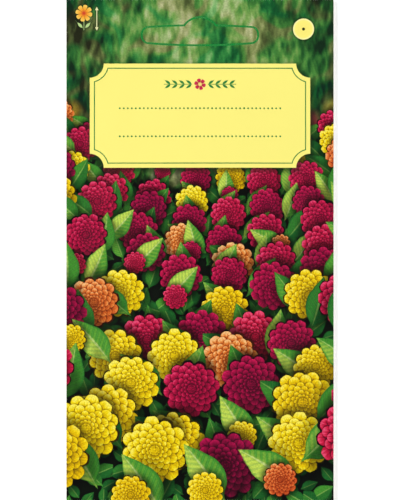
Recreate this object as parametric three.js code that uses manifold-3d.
// A seed packet lying on its back. A printed front web and a back web are heat-sealed
// together round all four edges, over a small inner sachet that holds the seeds. The deep
// seal at the head carries a die-cut hanging slot whose tab is still in place.
//
// Millimetres. +X is to the right of the print, +Y points to the hanging end and +Z up. The
// origin is under the middle of the packet, on the surface that it lies on.

import * as THREE from "three";
import { mergeVertices } from "three/addons/utils/BufferGeometryUtils.js";
import Module from "manifold-3d";

const wasm = await Module();
wasm.setup();

// Packet
const PACKET_WIDTH = 80;
const PACKET_LENGTH = 150;
const WEB_THICKNESS = 0.3;
const SIDE_SEAL = 5;
const FOOT_SEAL = 8;
const HEAD_SEAL = 17;
const SEAL_HEIGHT = 1.2; // the plane where the two webs meet, above the surface
const PUFF_HEIGHT = 1.4; // the front's rise over that plane in the middle
const END_FULLNESS = 4; // a higher power keeps the puff full nearer to both ends
const FLAT_SHARE = 0.4; // where the puff is over this share, the back lies flat

// Hanging slot, cut through both webs of the head seal
const SLOT_WIDTH = 34.8;
const SLOT_FOOT = 61.3; // lowest point of the slot, at its middle
const SLOT_FOOT_RISE = 0.6; // how much higher the foot line is where the corners start
const SLOT_SHOULDER = 67.3; // the top line, where it meets the bump
const SLOT_SHOULDER_FALL = 0.5; // how much lower that line is where the corners start
const SLOT_CORNER = 2.3;
const BUMP_WIDTH = 9.4;
const BUMP_HEIGHT = 2.4;
const CUT_WIDTH = 0.3;
const NICK_LENGTH = 1.1; // uncut bridges that hold the tab
const NICK_COUNT = 10;

// Inner sachet
const SACHET_WIDTH = 44;
const SACHET_LENGTH = 62;
const SACHET_MIDDLE = -21;
const SACHET_FILM = 0.2;
const SACHET_SEAL = 4;
const SACHET_SLACK = 0.5; // height under its front film where no seeds lie
const SACHET_LUMP = 1.0; // what the seeds add to that height
const LUMP_REACH = 10;

// Seeds
const SEED_RADIUS = 0.58;
const SEED_HALF_THICKNESS = 0.4;
const SEED_SIDES = 6;
const SEED_SPACING = 1.36;
const SEED_JITTER = 0.05;
const SEED_BED = 0.35; // the packed lower halves of the seeds
const DRIFT_HALF_WIDTH = 10.5;
const DRIFT_HALF_LENGTH = 5;
const DRIFT_MIDDLE = -38;
const DRIFT_SEED = 11;

// Mesh fineness
const WEB_COLUMNS = 16;
const WEB_ROWS = 26;
const SACHET_COLUMNS = 12;
const SACHET_ROWS = 18;
const CURVE_STEPS = 6;

const halfWidth = PACKET_WIDTH / 2;
const halfLength = PACKET_LENGTH / 2;
const chamber = {
  halfWidth: halfWidth - SIDE_SEAL,
  foot: -halfLength + FOOT_SEAL,
  head: halfLength - HEAD_SEAL,
};
const sachetFloor = WEB_THICKNESS;
const seedFloor = sachetFloor + SACHET_FILM;

// Evenly spaced numbers from low to high, both included.
function stations(low, high, count) {
  return Array.from({ length: count + 1 }, (_, i) => low + ((high - low) * i) / count);
}

// 1 in the middle of a rectangular pocket, falling to 0 along its edges and outside them.
function pocketShare(x, y, pocket, power) {
  const middle = (pocket.head + pocket.foot) / 2;
  const reach = (pocket.head - pocket.foot) / 2;
  const across = Math.min(1, Math.abs(x) / pocket.halfWidth);
  const along = Math.min(1, Math.abs(y - middle) / reach);
  return (1 - across ** power.across) * (1 - along ** power.along);
}

// A closed sheet over a grid, from its lower surface up to lower + thickness.
function sheet(xs, ys, lower, thickness) {
  const columns = xs.length;
  const layer = columns * ys.length;
  const position = [];
  for (const lift of [0, thickness]) {
    for (const y of ys) {
      for (const x of xs) position.push(x, y, lower(x, y) + lift);
    }
  }
  const index = [];
  const quad = (a, b, c, d) => index.push(a, b, c, a, c, d);
  for (let row = 0; row < ys.length - 1; row++) {
    for (let column = 0; column < columns - 1; column++) {
      const a = row * columns + column;
      const d = a + columns;
      quad(a, d, d + 1, a + 1);
      quad(a + layer, a + 1 + layer, d + 1 + layer, d + layer);
    }
  }
  const lastRow = layer - columns;
  for (let column = 0; column < columns - 1; column++) {
    const far = lastRow + column;
    quad(column, column + 1, column + 1 + layer, column + layer);
    quad(far + 1, far, far + layer, far + 1 + layer);
  }
  for (let start = 0; start < lastRow; start += columns) {
    const end = start + columns - 1;
    quad(start + columns, start, start + layer, start + columns + layer);
    quad(end, end + columns, end + columns + layer, end + layer);
  }
  return new THREE.BufferGeometry()
    .setAttribute("position", new THREE.Float32BufferAttribute(position, 3))
    .setIndex(index);
}

function solidFrom(geometry) {
  const bare = geometry.clone();
  bare.deleteAttribute("normal");
  bare.deleteAttribute("uv");
  const merged = mergeVertices(bare, 1e-4);
  return new wasm.Manifold(
    new wasm.Mesh({
      numProp: 3,
      vertProperties: new Float32Array(merged.attributes.position.array),
      triVerts: new Uint32Array(merged.index.array),
    }),
  );
}

function geometryFrom(solid) {
  const mesh = solid.getMesh();
  return new THREE.BufferGeometry()
    .setAttribute("position", new THREE.BufferAttribute(mesh.vertProperties, 3))
    .setIndex(new THREE.BufferAttribute(mesh.triVerts, 1));
}

// The slot's closed outline: a bar with a low round bump in the middle of its top.
function slotPath() {
  const side = SLOT_WIDTH / 2;
  const inner = side - SLOT_CORNER;
  const shoulder = SLOT_SHOULDER - SLOT_SHOULDER_FALL;
  const foot = SLOT_FOOT + SLOT_FOOT_RISE;
  const halfBump = BUMP_WIDTH / 2;
  const bumpRadius = (halfBump ** 2 + BUMP_HEIGHT ** 2) / (2 * BUMP_HEIGHT);
  const bumpCentre = SLOT_SHOULDER + BUMP_HEIGHT - bumpRadius;
  const bumpStart = Math.atan2(SLOT_SHOULDER - bumpCentre, halfBump);
  const path = new THREE.Path();
  path.absarc(0, bumpCentre, bumpRadius, bumpStart, Math.PI - bumpStart, false);
  path.lineTo(-inner, shoulder);
  path.quadraticCurveTo(-side, shoulder - 0.1, -side, (shoulder + foot) / 2);
  path.quadraticCurveTo(-side, foot, -inner, foot);
  path.quadraticCurveTo(0, SLOT_FOOT - SLOT_FOOT_RISE, inner, foot);
  path.quadraticCurveTo(side, foot, side, (shoulder + foot) / 2);
  path.quadraticCurveTo(side, shoulder - 0.1, inner, shoulder);
  path.closePath();
  return path;
}

// The outline moved outwards by a distance, or inwards if it is negative.
function movedOutline(points, distance) {
  return points.map((point, i) => {
    const before = points.at(i - 1);
    const after = points[(i + 1) % points.length];
    const along = after.clone().sub(before).normalize();
    return new THREE.Vector2(point.x + along.y * distance, point.y - along.x * distance);
  });
}

// The knife's path: a narrow band along the outline, broken by the nicks that hold the tab.
function dieCut() {
  const path = slotPath();
  const points = path.getPoints(CURVE_STEPS).slice(0, -1);
  const band = new THREE.Shape(movedOutline(points, CUT_WIDTH / 2));
  band.holes.push(new THREE.Path(movedOutline(points, -CUT_WIDTH / 2)));
  const depth = 4 * WEB_THICKNESS;
  const low = SEAL_HEIGHT - depth / 2;
  const blade = new THREE.ExtrudeGeometry(band, { depth, bevelEnabled: false });
  blade.translate(0, 0, low);
  const nicks = stations(0, 1, NICK_COUNT).slice(0, -1).map((share) => {
    const at = path.getPointAt((share + 0.5 / NICK_COUNT) % 1);
    const nick = new THREE.BoxGeometry(NICK_LENGTH, NICK_LENGTH, 2 * depth);
    nick.translate(at.x, at.y, SEAL_HEIGHT);
    return solidFrom(nick);
  });
  return solidFrom(blade).subtract(wasm.Manifold.union(nicks));
}

const webXs = [
  -halfWidth,
  ...stations(-chamber.halfWidth, chamber.halfWidth, WEB_COLUMNS),
  halfWidth,
];
const webYs = [
  -halfLength,
  ...stations(chamber.foot, chamber.head, WEB_ROWS),
  SLOT_FOOT - 1,
  SLOT_SHOULDER + BUMP_HEIGHT + 1,
  halfLength,
];
const webPower = { across: 2, along: END_FULLNESS };
const knife = dieCut();

// The printed front: flat in the seals and gently puffed up between them.
function frontWeb() {
  const lower = (x, y) => SEAL_HEIGHT + PUFF_HEIGHT * pocketShare(x, y, chamber, webPower);
  return geometryFrom(solidFrom(sheet(webXs, webYs, lower, WEB_THICKNESS)).subtract(knife));
}

// The back: it sags from the seals to the surface and lies flat on it in the middle.
function backWeb() {
  const drop = SEAL_HEIGHT - WEB_THICKNESS;
  const lower = (x, y) => {
    const share = Math.min(1, pocketShare(x, y, chamber, webPower) / FLAT_SHARE);
    return drop * (1 - share) ** 2;
  };
  return geometryFrom(solidFrom(sheet(webXs, webYs, lower, WEB_THICKNESS)).subtract(knife));
}

const sachetPocket = {
  halfWidth: SACHET_WIDTH / 2 - SACHET_SEAL,
  foot: SACHET_MIDDLE - SACHET_LENGTH / 2 + SACHET_SEAL,
  head: SACHET_MIDDLE + SACHET_LENGTH / 2 - SACHET_SEAL,
};

function sachetBack() {
  const film = new THREE.BoxGeometry(SACHET_WIDTH, SACHET_LENGTH, SACHET_FILM);
  return film.translate(0, SACHET_MIDDLE, sachetFloor + SACHET_FILM / 2);
}

// The sachet's front film stands over its seeds and lies nearly flat above them.
function sachetFront() {
  const half = SACHET_WIDTH / 2;
  const xs = [
    -half,
    ...stations(-sachetPocket.halfWidth, sachetPocket.halfWidth, SACHET_COLUMNS),
    half,
  ];
  const ys = [
    SACHET_MIDDLE - SACHET_LENGTH / 2,
    ...stations(sachetPocket.foot, sachetPocket.head, SACHET_ROWS),
    SACHET_MIDDLE + SACHET_LENGTH / 2,
  ];
  const power = { across: 4, along: 6 };
  const lower = (x, y) => {
    const lump = Math.exp(-(((y - DRIFT_MIDDLE) / LUMP_REACH) ** 2));
    const height = SACHET_SLACK + SACHET_LUMP * lump;
    return seedFloor + height * pocketShare(x, y, sachetPocket, power);
  };
  return sheet(xs, ys, lower, SACHET_FILM);
}

// A small repeatable random number generator, from 0 to 1.
function randomFrom(seed) {
  let state = seed;
  return () => {
    state = (state * 1664525 + 1013904223) % 4294967296;
    return state / 4294967296;
  };
}

// Lens-shaped seeds in one layer, their lower halves sunk in the bed that joins them.
function seedDrift() {
  const random = randomFrom(DRIFT_SEED);
  const bed = new THREE.CylinderGeometry(1, 1, SEED_BED, 28);
  bed.rotateX(Math.PI / 2);
  bed.scale(DRIFT_HALF_WIDTH + SEED_RADIUS, DRIFT_HALF_LENGTH + SEED_RADIUS, 1);
  bed.translate(0, DRIFT_MIDDLE, seedFloor + SEED_BED / 2);
  const solids = [solidFrom(bed)];
  const rowStep = SEED_SPACING * Math.sqrt(0.75);
  const rows = Math.floor(DRIFT_HALF_LENGTH / rowStep);
  const columns = Math.ceil(DRIFT_HALF_WIDTH / SEED_SPACING);
  const lens = [
    new THREE.Vector2(0, -SEED_HALF_THICKNESS),
    new THREE.Vector2(SEED_RADIUS, 0),
    new THREE.Vector2(0, SEED_HALF_THICKNESS),
  ];
  for (let row = -rows; row <= rows; row++) {
    for (let column = -columns; column <= columns; column++) {
      const x = (column + (row % 2 ? 0.5 : 0)) * SEED_SPACING + (random() - 0.5) * SEED_JITTER;
      const y = row * rowStep + (random() - 0.5) * SEED_JITTER;
      if (Math.hypot(x / DRIFT_HALF_WIDTH, y / DRIFT_HALF_LENGTH) > 1) continue;
      const seed = new THREE.LatheGeometry(lens, SEED_SIDES, random() * Math.PI);
      seed.rotateX(Math.PI / 2);
      seed.translate(x, DRIFT_MIDDLE + y, seedFloor + SEED_HALF_THICKNESS);
      solids.push(solidFrom(seed));
    }
  }
  return geometryFrom(wasm.Manifold.union(solids));
}

function piece(name, geometry, color, roughness, metalness = 0) {
  const material = new THREE.MeshStandardMaterial({ color, roughness, metalness });
  const mesh = new THREE.Mesh(geometry, material);
  mesh.name = name;
  return mesh;
}

const packet = new THREE.Group();
packet.add(
  piece("front_web", frontWeb(), "#8a6a2f", 0.35),
  piece("back_web", backWeb(), "#f1ead2", 0.45),
  piece("sachet_front", sachetFront(), "#e6e2d6", 0.5),
  piece("sachet_back", sachetBack(), "#e6e2d6", 0.5),
  piece("seeds", seedDrift(), "#d9bd85", 0.6),
);

export default packet;
